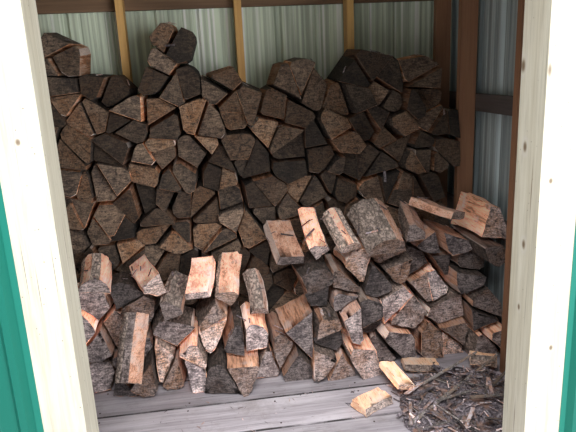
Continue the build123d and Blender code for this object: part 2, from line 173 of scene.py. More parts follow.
class Finish:
    """A material whose nodes are added one at a time."""

    def __init__(self, name, roughness=0.7, metallic=0.0):
        self.material = bpy.data.materials.new(name)
        self.material.use_nodes = True
        self.tree = self.material.node_tree
        self.shader = self.tree.nodes["Principled BSDF"]
        self.shader.inputs["Roughness"].default_value = roughness
        self.shader.inputs["Metallic"].default_value = metallic
        self.coords = self.tree.nodes.new("ShaderNodeTexCoord").outputs["Object"]

    def put(self, value, socket):
        """Link an output, or set a plain value."""
        if isinstance(value, bpy.types.NodeSocket):
            self.tree.links.new(value, socket)
        else:
            socket.default_value = value

    def stretch(self, scale, source=None, rotation=(0, 0, 0)):
        """Coordinates scaled along each axis."""
        node = self.tree.nodes.new("ShaderNodeMapping")
        node.inputs["Scale"].default_value = scale
        node.inputs["Rotation"].default_value = rotation
        self.put(source or self.coords, node.inputs["Vector"])
        return node.outputs["Vector"]

    def noise(self, scale, source=None, detail=4.0, rough=0.6, warp=0.0):
        """Grey noise between 0 and 1."""
        node = self.tree.nodes.new("ShaderNodeTexNoise")
        node.inputs["Scale"].default_value = scale
        node.inputs["Detail"].default_value = detail
        node.inputs["Roughness"].default_value = rough
        node.inputs["Distortion"].default_value = warp
        self.put(source or self.coords, node.inputs["Vector"])
        return node.outputs["Fac"]

    def streaks(self, scale, source=None, rotation=(0, 0, 0), **settings):
        """Noise scaled along each axis: the smallest number is the long way."""
        return self.noise(1.0, self.stretch(scale, source, rotation), **settings)

    def cells(self, scale, source=None, feature="F1"):
        """Distance to scattered points, or to the borders between them."""
        node = self.tree.nodes.new("ShaderNodeTexVoronoi")
        node.feature = feature
        node.inputs["Scale"].default_value = scale
        self.put(source or self.coords, node.inputs["Vector"])
        return node.outputs["Distance"]

    def ramp(self, value, *stops):
        """Colour or grey from (position, colour) stops."""
        node = self.tree.nodes.new("ShaderNodeValToRGB")
        elements = node.color_ramp.elements
        while len(elements) < len(stops):
            elements.new(1.0)
        for element, (position, colour) in zip(elements, stops):
            element.position = position
            if isinstance(colour, (int, float)):
                colour = (colour, colour, colour)
            element.color = (*colour, 1.0)
        self.put(value, node.inputs["Fac"])
        return node.outputs["Color"]

    def mix(self, share, first, second, how="MIX"):
        """Two colours mixed."""
        node = self.tree.nodes.new("ShaderNodeMix")
        node.data_type = "RGBA"
        node.blend_type = how
        self.put(share, node.inputs[0])
        for colour, socket in ((first, node.inputs[6]), (second, node.inputs[7])):
            if isinstance(colour, tuple):
                colour = (*colour, 1.0)
            self.put(colour, socket)
        return node.outputs[2]

    def sum(self, first, second, how="ADD"):
        """Two numbers combined. MULTIPLY_ADD multiplies by the second and adds it too."""
        node = self.tree.nodes.new("ShaderNodeMath")
        node.operation = how
        self.put(first, node.inputs[0])
        self.put(second, node.inputs[1])
        if how == "MULTIPLY_ADD":
            node.inputs[2].default_value = second
        return node.outputs[0]

    def read(self, name):
        """The piece's own attribute as separate red, green and blue."""
        node = self.tree.nodes.new("ShaderNodeAttribute")
        node.attribute_name = name
        parts = self.tree.nodes.new("ShaderNodeSeparateColor")
        self.put(node.outputs["Color"], parts.inputs["Color"])
        return parts.outputs["Red"], parts.outputs["Green"], parts.outputs["Blue"]

    def shifted(self, amount):
        """Coordinates moved by a per-piece amount, so that two neighbours never match."""
        node = self.tree.nodes.new("ShaderNodeVectorMath")
        node.operation = "MULTIPLY_ADD"
        combine = self.tree.nodes.new("ShaderNodeCombineXYZ")
        for axis in range(3):
            self.put(amount, combine.inputs[axis])
        self.put(combine.outputs[0], node.inputs[0])
        node.inputs[1].default_value = (7.3, 11.9, 17.1)
        self.put(self.coords, node.inputs[2])
        return node.outputs[0]

    def colour(self, value):
        """Base colour."""
        self.put(value, self.shader.inputs["Base Color"])

    def rough(self, value):
        """Roughness from a pattern."""
        self.put(value, self.shader.inputs["Roughness"])

    def relief(self, height, depth, strength=1.0):
        """Bump of a depth in metres."""
        node = self.tree.nodes.new("ShaderNodeBump")
        node.inputs["Strength"].default_value = strength
        node.inputs["Distance"].default_value = depth
        self.put(height, node.inputs["Height"])
        self.put(node.outputs["Normal"], self.shader.inputs["Normal"])


def wood_mark(finish, wood, place, size, squeeze, tint):
    """Wood with one knot or crack at a place, drawn out along Z."""
    distance = finish.tree.nodes.new("ShaderNodeVectorMath")
    distance.operation = "DISTANCE"
    finish.put(finish.stretch((1, 1, squeeze)), distance.inputs[0])
    distance.inputs[1].default_value = (place[0], place[1], place[2] * squeeze)
    away = distance.outputs["Value"]
    ring = finish.ramp(away, (1.0 * size, 0.0), (1.3 * size, 0.45), (1.9 * size, 0.0))
    wood = finish.mix(ring, wood, bleached(tint))
    return finish.mix(finish.ramp(away, (0.45 * size, 0.95), (size, 0.0)), wood, tint)


def grain_scale(along, lengthwise, across):
    """A noise scale with one number along the grain's axis and another across it."""
    return tuple(lengthwise if axis == along else across for axis in "XYZ")


def planed_timber(name, light, dark, knot, along="Z", weathered=False, marks=()):
    """Planed softwood with its grain along one axis. Weathered wood has dirt and cracks too."""
    finish = Finish(name, roughness=0.75)
    broad = grain_scale(along, 0.8, 14)
    knots = finish.cells(7.0, finish.stretch(grain_scale(along, 0.32, 1)))
    near_knot = finish.ramp(knots, (0.03, 1.0), (0.16, 0.0))
    knot_core = finish.ramp(knots, (0.045, 1.0), (0.075, 0.0))
    fibres = finish.streaks(grain_scale(along, 4, 90), detail=5.0, rough=0.65)
    bands = finish.streaks(broad, detail=3.0, rough=0.5, warp=0.6)
    grain = finish.sum(finish.sum(fibres, 0.45, "MULTIPLY"), finish.sum(bands, 0.55, "MULTIPLY"))
    wood = finish.mix(finish.ramp(grain, (0.34, 0.0), (0.66, 1.0)), dark, light)
    wood = finish.mix(finish.sum(near_knot, 0.35, "MULTIPLY"), wood, dark)
    wood = finish.mix(knot_core, wood, knot)
    if weathered:
        cracks = finish.streaks(grain_scale(along, 1.4, 144), detail=1.0)
        wood = finish.mix(finish.ramp(cracks, (0.235, 0.9), (0.27, 0.0)), wood, (0.05, 0.035, 0.025))
        dirt = finish.noise(5.0, finish.stretch(broad), detail=6.0, rough=0.7)
        wood = finish.mix(finish.ramp(dirt, (0.5, 0.0), (0.75, 0.5)), wood, shaded(dark, 0.55))
        specks = finish.ramp(finish.cells(34.0), (0.045, 0.75), (0.075, 0.0))
        wood = finish.mix(specks, wood, (0.10, 0.07, 0.045))
    for place, size, squeeze in marks:
        wood = wood_mark(finish, wood, place, size, squeeze, knot)
    finish.colour(wood)
    finish.relief(finish.sum(fibres, knot_core, "SUBTRACT"), 0.0008, 0.6)
    finish.rough(finish.ramp(grain, (0.3, 0.82), (0.7, 0.66)))
    return finish.material


def coated_sheet(name, outwards, outer, inner, streak):
    """Painted ribbed sheet: one colour on the face that looks outwards and another on its back, whose ribs
    carry painted shade and painted highlight lines.
    """
    finish = Finish(name, roughness=0.5)
    finish.shader.inputs["Specular IOR Level"].default_value = 0.25
    geometry = finish.tree.nodes.new("ShaderNodeNewGeometry")
    dot = finish.tree.nodes.new("ShaderNodeVectorMath")
    dot.operation = "DOT_PRODUCT"
    finish.put(geometry.outputs["True Normal"], dot.inputs[0])
    dot.inputs[1].default_value = outwards
    is_outside = finish.sum(dot.outputs["Value"], 0.0, "GREATER_THAN")
    runs = finish.streaks((26, 26, 1.3), detail=5.0, rough=0.62)
    clouds = finish.noise(2.2, detail=3.0)
    outside = finish.mix(finish.ramp(runs, (0.45, 0.0), (0.8, 0.22)), outer, streak)
    # Vertical lines on the back for painted rib shade and painted highlight
    painted_rib_lines = finish.streaks((48, 48, 0.15), detail=1.0, rough=0.5)
    painted_rib_highlight = tuple(min(0.9, part) for part in shaded(inner, 1.45))
    inside = finish.mix(finish.ramp(clouds, (0.35, 0.0), (0.75, 0.35)), inner, shaded(inner, 0.72))
    inside = finish.mix(finish.ramp(runs, (0.42, 0.0), (0.62, 0.6)), inside, shaded(inner, 0.5))
    # Painted shade along the ribs, then a painted highlight beside it
    inside = finish.mix(finish.ramp(painted_rib_lines, (0.50, 0.0), (0.62, 0.6)), inside, shaded(inner, 0.45))
    inside = finish.mix(finish.ramp(painted_rib_lines, (0.34, 0.7), (0.44, 0.0)), inside, painted_rib_highlight)
    finish.colour(finish.mix(is_outside, inside, outside))
    finish.rough(finish.ramp(runs, (0.3, 0.42), (0.8, 0.62)))
    finish.relief(clouds, 0.002, 0.25)
    return finish.material


green = (0.003, 0.125, 0.092)
green_streak = (0.012, 0.17, 0.13)
trim_green = (0.008, 0.16, 0.12)
# Pale whitish-grey back coat, its green tint partly painted light bounced from the grass outside
back_coat_with_painted_green_bounce = (0.68, 0.77, 0.61)
# Same coat as the back, made darker and bluer: painted shade of the side walls
side_coat_painted_shade = (0.38, 0.445, 0.455)

# Knots and cracks of the door posts: place, size and how far each is drawn out along Z
reveal_right, reveal_left, post_front = 0.757, -0.631, -0.895
post_marks = (
    ((reveal_right, -0.765, 1.685), 0.014, 0.6),
    ((reveal_right, -0.800, 1.442), 0.012, 0.6),
    ((reveal_right, -0.824, 1.134), 0.011, 0.6),
    ((reveal_right, -0.817, 0.917), 0.008, 0.6),
    ((reveal_right, -0.829, 0.510), 0.0035, 0.045),
    ((reveal_right, -0.850, 1.310), 0.002, 0.03),
    ((0.790, post_front, 1.350), 0.007, 0.7),
    ((0.830, post_front, 0.800), 0.007, 0.7),
    ((reveal_left, -0.820, 1.250), 0.002, 0.03),
    ((-0.690, post_front, 1.560), 0.007, 0.7),
)

# Timber colours: light bands, dark bands and knots
post_colours = (0.64, 0.615, 0.52), (0.46, 0.42, 0.32), (0.14, 0.085, 0.045)
trim_colours = (0.74, 0.69, 0.54), (0.55, 0.48, 0.35), (0.2, 0.13, 0.08)
stud_colours = (0.68, 0.42, 0.15), (0.46, 0.25, 0.08), (0.12, 0.05, 0.02)
# Darker copy of the stud colours for the right wall and back corners: painted shade
stud_colours_painted_shade = (0.34, 0.17, 0.09), (0.21, 0.10, 0.055), (0.07, 0.03, 0.02)
back_girt_colours = (0.22, 0.13, 0.07), (0.12, 0.07, 0.04), (0.05, 0.03, 0.02)
# Side girt colours: the girt wood made darker and greyer as painted shade of the side walls
girt_colours_painted_shade = (0.11, 0.09, 0.085), (0.06, 0.05, 0.05), (0.03, 0.02, 0.02)
roof_colours = (0.52, 0.33, 0.15), (0.34, 0.2, 0.09), (0.1, 0.05, 0.02)
ground_colours = (0.36, 0.31, 0.24), (0.24, 0.2, 0.15), (0.1, 0.07, 0.05)

post_wood = planed_timber("pale post wood", *post_colours, weathered=True, marks=post_marks)
trim_wood = planed_timber("pale trim wood", *trim_colours, along="X")
barge_wood = planed_timber("pale barge wood", *trim_colours, along="Y")
stud_wood = planed_timber("yellow stud wood", *stud_colours)
# Stud wood darkened as painted shade for the shaded side
stud_wood_painted_shade = planed_timber("stud wood in painted shade", *stud_colours_painted_shade)
girt_wood_x = planed_timber("dark girt wood across", *back_girt_colours, along="X")
girt_wood_y_painted_shade = planed_timber("girt wood along in painted shade", *girt_colours_painted_shade, along="Y")
rafter_wood = planed_timber("rafter wood", *roof_colours, along="Y")
plate_wood = planed_timber("plate wood", *roof_colours, along="X")
frame_wood_x = planed_timber("floor frame wood across", *ground_colours, along="X")
frame_wood_y = planed_timber("floor frame wood along", *ground_colours, along="Y")


def floor_board_material():
    """Grey weathered boards: streaks along the grain, worn pale patches, dirt, dark checks, and painted shade
    of the gaps on the rounded edges.
    """
    finish = Finish("weathered floor board", roughness=0.8)
    tone, painted_gap_shade, _ = finish.read("log")
    moved = finish.shifted(tone)
    fibres = finish.streaks((3.5, 95, 95), moved, detail=6.0, rough=0.7)
    bands = finish.streaks((0.7, 16, 16), moved, detail=3.0, warp=0.5)
    grain = finish.sum(finish.sum(fibres, 0.5, "MULTIPLY"), finish.sum(bands, 0.5, "MULTIPLY"))
    dark_grey, grey, pale_grey = (0.20, 0.175, 0.19), (0.36, 0.325, 0.355), (0.54, 0.50, 0.545)
    colour = finish.ramp(grain, (0.34, dark_grey), (0.5, grey), (0.66, pale_grey))
    worn = finish.noise(2.6, finish.stretch((0.8, 2.5, 1), moved), detail=5.0)
    colour = finish.mix(finish.ramp(worn, (0.48, 0.0), (0.68, 0.65)), colour, (0.60, 0.56, 0.60))
    dirt = finish.ramp(finish.noise(7.0, moved, detail=6.0, rough=0.7), (0.52, 0.0), (0.74, 0.55))
    colour = finish.mix(dirt, colour, (0.17, 0.135, 0.12))
    checks = finish.streaks((2.2, 130, 90), moved, detail=2.0)
    checks = finish.ramp(checks, (0.26, 0.85), (0.31, 0.0))
    colour = finish.mix(checks, colour, (0.03, 0.025, 0.025))
    specks = finish.ramp(finish.cells(42.0, moved), (0.05, 0.8), (0.09, 0.0))
    colour = finish.mix(specks, colour, (0.09, 0.06, 0.05))
    # Painted shade of the gaps between boards: the rounded edges go near black, broken up by noise
    broken = finish.ramp(finish.noise(5.0, moved, detail=4.0), (0.42, 0.95), (0.62, 0.1))
    colour = finish.mix(finish.sum(painted_gap_shade, broken, "MULTIPLY"), colour, (0.022, 0.018, 0.018))
    shade = finish.ramp(tone, (0.0, 0.88), (1.0, 1.2))
    finish.colour(finish.mix(1.0, colour, shade, "MULTIPLY"))
    finish.relief(finish.sum(fibres, checks, "SUBTRACT"), 0.0015, 0.7)
    return finish.material


board_wood = floor_board_material()

node_finishes = {
    "door_post_left": post_wood,
    "door_post_right": post_wood,
    "door_header": plate_wood,
    "corner_studs_front": stud_wood,
    "corner_studs_back": stud_wood_painted_shade,
    "back_studs": stud_wood,
    "left_studs": stud_wood,
    "right_studs": stud_wood_painted_shade,
    "back_plate": plate_wood,
    "back_girts": girt_wood_x,
    "left_girts": girt_wood_y_painted_shade,
    "right_girts": girt_wood_y_painted_shade,
    "front_girts_left": girt_wood_x,
    "front_girts_right": girt_wood_x,
    "rafters": rafter_wood,
    "purlins": plate_wood,
    "fascia_front": trim_wood,
    "fascia_back": trim_wood,
    "barge_board_left": barge_wood,
    "barge_board_right": barge_wood,
    "skids": frame_wood_x,
    "floor_joists": frame_wood_y,
    "floor_rim_front": frame_wood_x,
    "floor_rim_back": frame_wood_x,
    "roof_sheet": coated_sheet("green roof sheet", (0, 0, 1), green, back_coat_with_painted_green_bounce, green_streak),
    "back_cladding": coated_sheet("back wall sheet", (0, 1, 0), green, back_coat_with_painted_green_bounce, green_streak),
    "left_cladding": coated_sheet("left wall sheet", (-1, 0, 0), green, side_coat_painted_shade, green_streak),
    "right_cladding": coated_sheet("right wall sheet", (1, 0, 0), green, side_coat_painted_shade, green_streak),
    "corner_trims_front": coated_sheet("corner trim front", (0, -1, 0), green, green, green_streak),
    "corner_trims_back": coated_sheet("corner trim back", (0, 1, 0), green, green, green_streak),
    "door_trims": coated_sheet("door trim", (0, -1, 0), trim_green, green, green_streak),
}
for part in ("left", "right", "over_door"):
    node_finishes[f"front_cladding_{part}"] = coated_sheet(
        f"front wall sheet {part}", (0, -1, 0), green, back_coat_with_painted_green_bounce, green_streak
    )
for node, material in node_finishes.items():
    nodes[node].data.materials.clear()
    nodes[node].data.materials.append(material)


# Floor boards


def floor_boards():
    """Boards across the floor, each with rounded edges that carry painted shade of the gaps."""
    narrowest = 0.03
    seams = [board_seam + number * board_pitch for number in range(-6, 8)]
    edges = [front_y] + [y for y in seams if front_y + narrowest < y < back_y - narrowest] + [back_y]
    boards = []
    for y0, y1 in zip(edges, edges[1:]):
        deselect_all()
        bpy.ops.mesh.primitive_cube_add(size=1)
        board = bpy.context.object
        width = y1 - y0 - board_gap
        board.scale = (deck_high[0] - deck_low[0], width, deck_high[2] - deck_low[2])
        board.location = (0, (y0 + y1) / 2, (deck_high[2] + deck_low[2]) / 2)
        bpy.ops.object.transform_apply(location=True, rotation=True, scale=True)
        apply_modifier(board, "BEVEL", width=0.006, segments=2)
        boards.append(board)
    floor = join_all(boards, "floor_boards")
    logs = island_of_faces(floor.data)
    rng = random.Random(9)
    tones = {board: rng.random() for board in sorted(set(logs))}
    colours = floor.data.color_attributes.new("log", "FLOAT_COLOR", "CORNER")
    for polygon, board in zip(floor.data.polygons, logs):
        # Rounded edge faces are marked to carry the painted shade of the gaps
        edge_in_painted_gap_shade = float(0.1 < polygon.normal.z < 0.95)
        for loop in polygon.loop_indices:
            colours.data[loop].color = (tones[board], edge_in_painted_gap_shade, 0, 1)
    return floor


finish_piece(floor_boards(), board_wood, "floor_board", "floor_deck")


# Firewood


def end_grain(finish, tone, moved):
    """Growth rings and drying checks about the pith, whose place is in attribute pith."""
    from_pith = finish.tree.nodes.new("ShaderNodeVectorMath")
    from_pith.operation = "SUBTRACT"
    pith = finish.tree.nodes.new("ShaderNodeAttribute")
    pith.attribute_name = "pith"
    finish.put(finish.coords, from_pith.inputs[0])
    finish.put(pith.outputs["Vector"], from_pith.inputs[1])
    parts = finish.tree.nodes.new("ShaderNodeSeparateXYZ")
    finish.put(from_pith.outputs["Vector"], parts.inputs["Vector"])
    across, height = parts.outputs["X"], parts.outputs["Z"]
    squares = finish.sum(finish.sum(across, across, "MULTIPLY"), finish.sum(height, height, "MULTIPLY"))
    radius = finish.sum(squares, 0.5, "POWER")
    angle = finish.sum(height, across, "ARCTAN2")
    wander = finish.sum(finish.noise(14.0, moved, detail=2.0), 0.028, "MULTIPLY")
    ring_place = finish.sum(finish.sum(radius, wander), 520.0, "MULTIPLY")
    rings = finish.sum(finish.sum(ring_place, 0.0, "SINE"), 0.5, "MULTIPLY_ADD")
    fan = finish.tree.nodes.new("ShaderNodeCombineXYZ")
    finish.put(finish.sum(angle, 5.5, "MULTIPLY"), fan.inputs["X"])
    finish.put(finish.sum(radius, 6.0, "MULTIPLY"), fan.inputs["Y"])
    finish.put(finish.sum(tone, 40.0, "MULTIPLY"), fan.inputs["Z"])
    checks = finish.ramp(finish.noise(1.6, fan.outputs["Vector"], detail=5.0), (0.3, 1.0), (0.38, 0.0))
    return rings, checks


def firewood_material(name, split, split_dark, end, end_light, bark, warm, aged=0.7):
    """Split firewood. Attribute log: tone, bark and end grain. Attribute pith: centre of the rings."""
    finish = Finish(name, roughness=0.85)
    tone, edge, is_end = finish.read("log")
    is_bark = finish.ramp(edge, (0.7, 0.0), (0.9, 1.0))
    warmth = finish.sum(finish.sum(tone, 7.31, "MULTIPLY"), 0.0, "FRACT")
    age = finish.sum(finish.sum(tone, 19.7, "MULTIPLY"), 0.0, "FRACT")
    moved = finish.shifted(tone)

    # Split sides: fibres, bands, splinters, blotches and age
    fibres = finish.streaks((120, 7, 120), moved, detail=6.0, rough=0.72)
    bands = finish.streaks((26, 3, 26), moved, detail=3.0)
    blotches = finish.noise(10.0, moved, detail=4.0, rough=0.6)
    grain = finish.sum(finish.sum(fibres, 0.55, "MULTIPLY"), finish.sum(bands, 0.45, "MULTIPLY"))
    pale = tuple(0.4 * part + 0.6 * other for part, other in zip(split, (0.75, 0.62, 0.52)))
    side = finish.ramp(grain, (0.40, split_dark), (0.50, split), (0.62, pale))
    splinters = finish.ramp(finish.streaks((210, 12, 210), moved, detail=3.0), (0.34, 0.8), (0.42, 0.0))
    side = finish.mix(splinters, side, shaded(split_dark, 0.4))
    side = finish.mix(finish.ramp(blotches, (0.5, 0.0), (0.66, 0.7)), side, end_light)
    side = finish.mix(finish.ramp(age, (0.5, 0.0), (1.0, aged)), side, end)

    # Sawn ends: blotches, patches, saw marks, grit, rings and checks
    rings, checks = end_grain(finish, tone, moved)
    grit = finish.noise(150.0, moved, detail=4.0, rough=0.7)
    saw = finish.streaks((35, 8, 140), moved, rotation=(0, 0.5, 0), detail=3.0)
    face = finish.mix(finish.ramp(warmth, (0.25, 0.0), (0.8, 1.0)), end, warm)
    patches = finish.noise(48.0, moved, detail=6.0, rough=0.75)
    face = finish.mix(finish.ramp(blotches, (0.40, 0.0), (0.62, 0.7)), face, end_light)
    face = finish.mix(finish.ramp(patches, (0.53, 0.0), (0.64, 0.6)), face, end_light)
    face = finish.mix(finish.ramp(patches, (0.38, 0.9), (0.48, 0.0)), face, shaded(end, 0.25))
    face = finish.mix(finish.ramp(saw, (0.38, 0.6), (0.50, 0.0)), face, shaded(end, 0.35))
    face = finish.mix(finish.ramp(saw, (0.55, 0.0), (0.66, 0.5)), face, end_light)
    face = finish.mix(finish.ramp(grit, (0.38, 0.6), (0.55, 0.0)), face, (0.01, 0.008, 0.008))
    face = finish.mix(finish.sum(rings, 0.22, "MULTIPLY"), face, (0.03, 0.02, 0.018))
    face = finish.mix(finish.sum(checks, 0.8, "MULTIPLY"), face, (0.008, 0.006, 0.006))

    # Bark: plates with dark furrows and paler flakes
    plates = finish.cells(1.0, finish.stretch((58, 22, 58), moved), feature="DISTANCE_TO_EDGE")
    ridges = finish.sum(finish.sum(plates, 0.7, "MULTIPLY"), finish.sum(patches, 0.5, "MULTIPLY"))
    skin = finish.mix(finish.ramp(ridges, (0.2, 0.0), (0.5, 1.0)), shaded(bark, 0.18), bark)
    flakes = finish.streaks((60, 30, 60), moved, detail=6.0, rough=0.8)
    skin = finish.mix(finish.ramp(flakes, (0.52, 0.0), (0.62, 0.7)), skin, shaded(bark, 1.9))

    # Sapwood: pale sides beside the bark
    sapwood = finish.mix(finish.ramp(grit, (0.4, 0.0), (0.6, 0.5)), bleached(pale), side)
    is_sapwood = finish.ramp(edge, (0.2, 0.0), (0.3, 0.85), (0.7, 0.85), (0.8, 0.0))

    colour = finish.mix(is_sapwood, side, sapwood)
    colour = finish.mix(is_bark, colour, skin)
    colour = finish.mix(is_end, colour, face)
    shade = finish.ramp(tone, (0.0, 0.3), (0.5, 1.02), (0.82, 1.8), (1.0, 2.6))
    finish.colour(finish.mix(1.0, colour, shade, "MULTIPLY"))
    end_bumps = finish.sum(finish.sum(grit, 0.4, "MULTIPLY"), finish.sum(checks, 0.3, "MULTIPLY"), "SUBTRACT")
    side_bumps = finish.mix(is_bark, grain, ridges)
    finish.relief(finish.mix(is_end, side_bumps, finish.sum(end_bumps, patches)), 0.016, 1.0)
    return finish.material


def rounded_faces(mesh):
    """Faces that turn gently into a neighbour: the outer skin of the trunk."""
    least, most = math.radians(3), math.radians(34)
    shape = bmesh.new()
    shape.from_mesh(mesh)
    found = set()
    for edge in shape.edges:
        if len(edge.link_faces) == 2 and least < edge.calc_face_angle() < most:
            found.update(face.index for face in edge.link_faces)
    shape.free()
    return found


def paint_logs(piece, seed, bark_share, darkest):
    """Give each face its log's tone and pith, and mark ends, bark and pale sapwood."""
    rounds_with_bark, sapwood_share, smallest_end = 0.8, 0.25, 0.0001
    rng = random.Random(seed)
    mesh = piece.data
    logs = island_of_faces(mesh)
    tones = {log: rng.uniform(darkest, 1.0) for log in sorted(set(logs))}
    barked = {log for log in sorted(set(logs)) if rng.random() < rounds_with_bark}
    skin = rounded_faces(mesh)
    largest = {}
    for polygon, log in zip(mesh.polygons, logs):
        largest[log] = max(largest.get(log, 0), polygon.area)
    piths = {}
    for polygon, log in zip(mesh.polygons, logs):
        if polygon.normal.y < -0.5 and polygon.normal.y < piths.get(log, (0, None))[0]:
            corners = [mesh.vertices[index].co for index in polygon.vertices]
            corner = corners[rng.randrange(len(corners))]
            piths[log] = (polygon.normal.y, corner.lerp(polygon.center, rng.uniform(-0.2, 0.6)))
    colours = mesh.color_attributes.new("log", "FLOAT_COLOR", "CORNER")
    centres = mesh.attributes.new("pith", "FLOAT_VECTOR", "CORNER")
    for polygon, log in zip(mesh.polygons, logs):
        is_end = log in piths and polygon.area > smallest_end and abs(polygon.normal.y) > 0.8
        edge = 0.0
        if not is_end:
            chance = rng.random()
            if chance < bark_share or (polygon.index in skin and log in barked):
                edge = 1.0
            elif chance > 1 - sapwood_share and polygon.area < 0.5 * largest[log]:
                edge = 0.5
        value = (tones[log], edge, float(is_end), 1.0)
        centre = piths[log][1] if log in piths else polygon.center
        for loop in polygon.loop_indices:
            colours.data[loop].color = value
            centres.data[loop].vector = centre
    return logs


def skew_front_ends(piece, logs, seed, shift, reach, tilt, taper):
    """Draw in, move and tilt each log's front end about its own middle."""
    rng = random.Random(seed)
    mesh = piece.data
    ends = {}
    for polygon, log in zip(mesh.polygons, logs):
        ends.setdefault(log, set()).update(polygon.vertices)
    for log in sorted(ends):
        middle_y = sum(mesh.vertices[index].co.y for index in ends[log]) / len(ends[log])
        front = [mesh.vertices[index] for index in ends[log] if mesh.vertices[index].co.y < middle_y]
        centre = sum((vertex.co for vertex in front), Vector()) / len(front)
        move = Vector(
            (rng.uniform(-shift, shift), rng.uniform(-reach, reach), rng.uniform(-shift, 0.4 * shift))
        )
        lean_x, lean_z = rng.uniform(-tilt, tilt), rng.uniform(-0.3 * tilt, 1.3 * tilt)
        for vertex in front:
            away = vertex.co - centre
            vertex.co += move - taper * rng.uniform(0.3, 1.7) * Vector((away.x, 0, away.z))
            vertex.co.y += lean_x * away.x + lean_z * away.z


def bend_logs(piece, seed, bow):
    """Bow each log sideways by a share of its half length, as crooked trunks grow."""
    rng = random.Random(seed)
    mesh = piece.data
    logs = {}
    for polygon, log in zip(mesh.polygons, island_of_faces(mesh)):
        logs.setdefault(log, set()).update(polygon.vertices)
    for log in sorted(logs):
        vertices = [mesh.vertices[index] for index in sorted(logs[log])]
        places = np.array([vertex.co for vertex in vertices])
        middle = places.mean(axis=0)
        along = Vector(np.linalg.svd(places - middle, full_matrices=False)[2][0])
        half = max(abs((vertex.co - Vector(middle)).dot(along)) for vertex in vertices)
        aside = along.cross(Vector([rng.uniform(-1, 1) for axis in range(3)])).normalized()
        size = rng.uniform(0.1, 1.0) * bow * half
        for vertex in vertices:
            share = (vertex.co - Vector(middle)).dot(along) / half
            vertex.co += aside * size * (0.5 - share * share)


def firewood_piece(node, seed, material, slot="firewood", bark_share=0.22, fine=True, tilted=False):
    """Logs with worn edges, with skewed front ends unless tilted, and with uneven sides if fine."""
    piece = copy_node(node, f"{node}_logs")
    logs = paint_logs(piece, seed, bark_share, darkest=0.42 if tilted else 0.0)
    if not tilted:
        skew_front_ends(piece, logs, seed, shift=0.012, reach=0.032, tilt=0.26, taper=0.10)
    worn = 0.003 if fine else 0.0018
    apply_modifier(
        piece, "BEVEL", width=worn, segments=1, limit_method="ANGLE", angle_limit=math.radians(25)
    )
    if fine:
        apply_modifier(piece, "SUBSURF", subdivision_type="SIMPLE", levels=2, render_levels=2)
        bend_logs(piece, seed, bow=0.09)
        rough = bpy.data.textures.new(f"{node} rough", "CLOUDS")
        rough.noise_scale = 0.018
        rough.noise_depth = 4
        apply_modifier(
            piece, "DISPLACE", texture=rough, strength=0.019, mid_level=0.7, texture_coords="LOCAL"
        )
    finish_piece(piece, material, slot, node)
    select_only(piece)
    bpy.ops.object.shade_smooth_by_angle(angle=math.radians(28))


# Back row firewood: a much darker copy of the front row's wood, painted shade under the door header
back_wood_painted_shade = firewood_material(
    "back row firewood",
    split=(0.46, 0.20, 0.09),
    split_dark=(0.13, 0.05, 0.022),
    end=(0.064, 0.046, 0.036),
    end_light=(0.23, 0.16, 0.11),
    bark=(0.08, 0.058, 0.045),
    warm=(0.21, 0.105, 0.05),
)
front_wood = firewood_material(
    "front row firewood",
    split=(0.86, 0.45, 0.28),
    split_dark=(0.33, 0.15, 0.085),
    end=(0.18, 0.143, 0.148),
    end_light=(0.66, 0.54, 0.52),
    bark=(0.21, 0.155, 0.13),
    warm=(0.52, 0.28, 0.17),
)
fresh_wood = firewood_material(
    "fresh split firewood",
    split=(0.74, 0.40, 0.27),
    split_dark=(0.36, 0.16, 0.10),
    end=(0.24, 0.185, 0.175),
    end_light=(0.62, 0.50, 0.47),
    bark=(0.42, 0.33, 0.285),
    warm=(0.48, 0.30, 0.21),
    aged=0.45,
)
clean_wood = firewood_material(
    "clean split firewood",
    split=(0.95, 0.58, 0.36),
    split_dark=(0.62, 0.33, 0.19),
    end=(0.45, 0.33, 0.28),
    end_light=(0.80, 0.66, 0.60),
    bark=(0.34, 0.265, 0.23),
    warm=(0.70, 0.42, 0.28),
    aged=0.15,
)

bays = ("left", "middle", "right")
for number, part in enumerate(bays):
    firewood_piece(f"firewood_back_{part}", 31 + number, back_wood_painted_shade, fine=False)
    firewood_piece(f"firewood_front_{part}", 51 + number, front_wood)
firewood_piece("leaning_splits", 71, fresh_wood, bark_share=0.3, tilted=True)
firewood_piece("fallen_splits", 83, clean_wood, slot="fresh_split", bark_share=0.0, tilted=True)


# Bark: a lumpy mound covered with chips, sticks and twigs, and scraps on the rows


def bark_material(name, dark, mid, light, warm):
    """Loose bark and wood. Attribute log: tone in red, and pale wood instead of bark in blue."""
    finish = Finish(name, roughness=0.9)
    tone, _, pale = finish.read("log")
    moved = finish.shifted(tone)
    grit = finish.noise(90.0, moved, detail=6.0, rough=0.75)
    patch = finish.noise(17.0, moved, detail=4.0)
    colour = finish.ramp(grit, (0.36, dark), (0.52, mid), (0.66, light))
    colour = finish.mix(finish.ramp(patch, (0.50, 0.0), (0.62, 0.75)), colour, warm)
    fibres = finish.streaks((60, 60, 60), moved, detail=5.0)
    flesh = finish.mix(finish.ramp(fibres, (0.4, 0.0), (0.6, 1.0)), warm, light)
    colour = finish.mix(pale, colour, flesh)
    shade = finish.ramp(tone, (0.0, 0.2), (0.6, 1.0), (1.0, 2.3))
    finish.colour(finish.mix(1.0, colour, shade, "MULTIPLY"))
    finish.relief(grit, 0.010, 1.0)
    return finish.material


